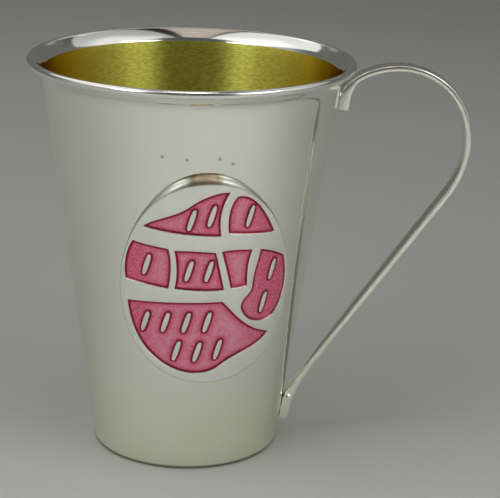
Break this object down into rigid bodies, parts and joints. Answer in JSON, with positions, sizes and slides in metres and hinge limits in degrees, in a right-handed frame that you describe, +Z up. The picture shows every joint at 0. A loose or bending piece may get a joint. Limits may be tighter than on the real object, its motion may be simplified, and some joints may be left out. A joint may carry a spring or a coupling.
{
  "type": "kiddush cup",
  "caption": "Tapered silver kiddush cup with an out-turned lip, a bent strip handle and an oval medallion with magenta enamel in sunk cells.",
  "frame": {"origin": "centre of the cup's flat underside, at the height it stands on", "axes": "+Z up the cup's axis, +X towards the handle, -Y the front, which the medallion faces"},
  "size_m": [0.09, 0.066, 0.0814],
  "materials": {
    "satin_silver": "satin silver with soft vertical streaks outside, brushed gilding inside below the lip",
    "bright_silver": "polished silver strip with fine wear",
    "plate_silver": "satin silver, lightly etched, bright on its rounded edge",
    "magenta_enamel": "translucent glossy enamel with a fine grain, darker along the cells' sides"
  },
  "bodies": {
    "root": {"cup": "satin_silver", "handle": "bright_silver", "medallion": "plate_silver", "enamel_sweep": "magenta_enamel", "enamel_crown": "magenta_enamel", "enamel_row_1": "magenta_enamel", "enamel_row_2": "magenta_enamel", "enamel_row_3": "magenta_enamel", "enamel_row_4": "magenta_enamel", "enamel_crescent": "magenta_enamel"}
  },
  "joints": []
}
